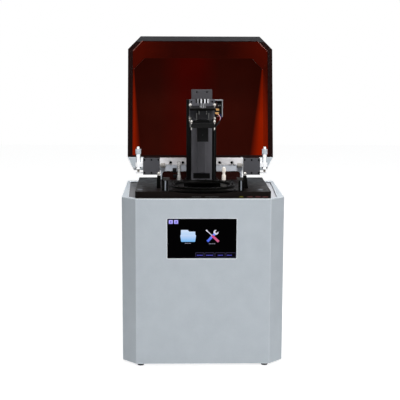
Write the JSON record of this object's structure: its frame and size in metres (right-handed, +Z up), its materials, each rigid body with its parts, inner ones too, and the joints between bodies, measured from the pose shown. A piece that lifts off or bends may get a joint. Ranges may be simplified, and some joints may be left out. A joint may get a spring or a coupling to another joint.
{
  "type": "resin printer",
  "caption": "Desktop resin printer with a touchscreen case, sunken vat, lead-screw build column, micrometer stages and a tilting red acrylic lid.",
  "frame": {"origin": "centre of the base plate's flat underside; the rubber feet reach below it", "axes": "+Z up, -Y towards the front panel with the touchscreen, +X to the right seen from the front"},
  "size_m": [0.365, 0.6238, 0.7435],
  "materials": {
    "case_paint": "fine silver texture",
    "sheet_metal": "satin",
    "bright_metal": "polished",
    "dark_anodised": "matt dark grey anodised",
    "black_anodised": "satin black anodised",
    "gutter_paint": "matt grey",
    "black_plastic": "matt",
    "foot_rubber": "matt",
    "display": "gloss, backlit picture",
    "window_glass": "clear",
    "clear_film": "clear",
    "circuit_board": "solder mask",
    "red_acrylic": "gloss, tinted",
    "rim_black": "satin black"
  },
  "bodies": {
    "base": {"outer_shell": "case_paint", "rear_cover": "case_paint", "base_plate": "sheet_metal", "foot_front_left": "foot_rubber", "foot_front_right": "foot_rubber", "foot_rear_left": "foot_rubber", "foot_rear_right": "foot_rubber", "touchscreen": "display", "fan_frame": "black_plastic", "power_supply": "sheet_metal", "mainboard": "circuit_board", "projector": "dark_anodised", "projector_lens": "black_anodised", "top_tray": "gutter_paint", "deck_plate": "black_anodised", "projection_window": "window_glass", "vat_post_left": "black_anodised", "vat_post_right": "black_anodised", "screw_bracket_left": "black_anodised", "screw_bracket_right": "black_anodised", "fill_fitting": "bright_metal", "column_plate": "black_anodised", "z_rail": "black_anodised", "column_cover": "dark_anodised", "column_top_block": "dark_anodised", "z_motor": "black_anodised", "limit_switch_bracket": "sheet_metal", "stage_frame_left": "sheet_metal", "stage_frame_right": "sheet_metal", "stage_base_left": "sheet_metal", "stage_base_right": "sheet_metal", "micrometer_barrel_left": "bright_metal", "micrometer_barrel_right": "bright_metal", "hinge_riser": "rim_black", "hinge_pin": "bright_metal"},
    "lid": {"lid_shell": "red_acrylic", "lid_rim_frame": "rim_black", "lid_hinge_cover": "case_paint"},
    "carriage": {"carriage": "dark_anodised", "arm_bracket": "black_anodised"},
    "lead_screw": {"lead_screw": "bright_metal"},
    "lock_knob": {"lock_knob": "bright_metal"},
    "pivot_block": {"pivot_block": "dark_anodised"},
    "platform": {"levelling_plate": "black_anodised", "build_platform": "dark_anodised"},
    "vat": {"vat_body": "black_anodised", "vat_film": "clear_film", "film_clamp_ring": "sheet_metal"},
    "clamp_jaw_left": {"clamp_jaw_left": "sheet_metal"},
    "clamp_jaw_right": {"clamp_jaw_right": "sheet_metal"},
    "ball_screw_left": {"ball_screw_left": "bright_metal"},
    "ball_screw_right": {"ball_screw_right": "bright_metal"},
    "fitting_knob": {"fitting_knob": "black_plastic"},
    "thumb_screw": {"thumb_screw": "bright_metal"},
    "stage_left": {"stage_table_left": "dark_anodised"},
    "stage_right": {"stage_table_right": "dark_anodised"},
    "thimble_left": {"micrometer_thimble_left": "bright_metal"},
    "thimble_right": {"micrometer_thimble_right": "bright_metal"},
    "fan_rotor": {"fan_rotor": "black_plastic"},
    "power_switch": {"power_switch": "black_plastic"}
  },
  "joints": [
    {"name": "lid_hinge", "type": "hinge", "parent": "base", "child": "lid", "pos_m": [0, 0.1797, 0.4057], "axis": [1, 0, 0], "range_deg": [0, 102.8]},
    {"name": "z_slide", "type": "slide", "parent": "base", "child": "carriage", "axis": [0, 0, 1], "range_m": [-0.113, 0]},
    {"name": "lead_screw_turn", "type": "hinge", "parent": "base", "child": "lead_screw", "pos_m": [0, 0.0475, 0.4], "axis": [0, 0, 1], "range_deg": [-8140, 10]},
    {"name": "lock_knob_turn", "type": "hinge", "parent": "carriage", "child": "lock_knob", "pos_m": [0, -0.0535, 0.58], "axis": [0, 0, 1], "range_deg": [0, 360]},
    {"name": "level_tilt", "type": "hinge", "parent": "carriage", "child": "pivot_block", "pos_m": [0, -0.0535, 0.5572], "axis": [1, 0, 0], "range_deg": [-3, 3]},
    {"name": "level_roll", "type": "hinge", "parent": "pivot_block", "child": "platform", "pos_m": [0, -0.0535, 0.5572], "axis": [0, 1, 0], "range_deg": [-3, 3]},
    {"name": "vat_lift", "type": "slide", "parent": "base", "child": "vat", "axis": [0, 0, 1], "range_m": [0, 0.02]},
    {"name": "clamp_left_swivel", "type": "hinge", "parent": "base", "child": "clamp_jaw_left", "pos_m": [-0.08, -0.133, 0.42], "axis": [0, 0, 1], "range_deg": [-90, 0]},
    {"name": "clamp_right_swivel", "type": "hinge", "parent": "base", "child": "clamp_jaw_right", "pos_m": [0.08, -0.133, 0.42], "axis": [0, 0, 1], "range_deg": [0, 90]},
    {"name": "ball_screw_left_turn", "type": "hinge", "parent": "base", "child": "ball_screw_left", "pos_m": [-0.1001, -0.0835, 0.424], "axis": [0, 0, 1], "range_deg": [0, 360]},
    {"name": "ball_screw_right_turn", "type": "hinge", "parent": "base", "child": "ball_screw_right", "pos_m": [0.0961, -0.0835, 0.424], "axis": [0, 0, 1], "range_deg": [0, 360]},
    {"name": "fitting_knob_turn", "type": "hinge", "parent": "base", "child": "fitting_knob", "pos_m": [-0.0636, 0.057, 0.416], "axis": [1, 0, 0], "range_deg": [0, 90]},
    {"name": "thumb_screw_turn", "type": "hinge", "parent": "base", "child": "thumb_screw", "pos_m": [0.0545, 0.057, 0.4], "axis": [0, 0, 1], "range_deg": [0, 360]},
    {"name": "stage_left_slide", "type": "slide", "parent": "base", "child": "stage_left", "axis": [0, 0, 1], "range_m": [-0.0065, 0.0065]},
    {"name": "stage_right_slide", "type": "slide", "parent": "base", "child": "stage_right", "axis": [0, 0, 1], "range_m": [-0.0065, 0.0065]},
    {"name": "thimble_left_turn", "type": "hinge", "parent": "stage_left", "child": "thimble_left", "pos_m": [-0.1508, 0.0365, 0.46], "axis": [0, 0, 1], "range_deg": [-4700, 4700]},
    {"name": "thimble_right_turn", "type": "hinge", "parent": "stage_right", "child": "thimble_right", "pos_m": [0.1508, 0.0365, 0.46], "axis": [0, 0, 1], "range_deg": [-4700, 4700]},
    {"name": "fan_spin", "type": "hinge", "parent": "base", "child": "fan_rotor", "pos_m": [0.095, 0.166, 0.25], "axis": [0, 1, 0], "continuous": true},
    {"name": "power_switch_rock", "type": "hinge", "parent": "base", "child": "power_switch", "pos_m": [-0.12, 0.1798, 0.07], "axis": [1, 0, 0], "range_deg": [0, 20]}
  ],
  "couplings": [
    {"joint": "lead_screw_turn", "follows": "z_slide", "rad_per_m": 1256.6},
    {"joint": "thimble_left_turn", "follows": "stage_left_slide", "rad_per_m": 12566},
    {"joint": "thimble_right_turn", "follows": "stage_right_slide", "rad_per_m": 12566}
  ]
}
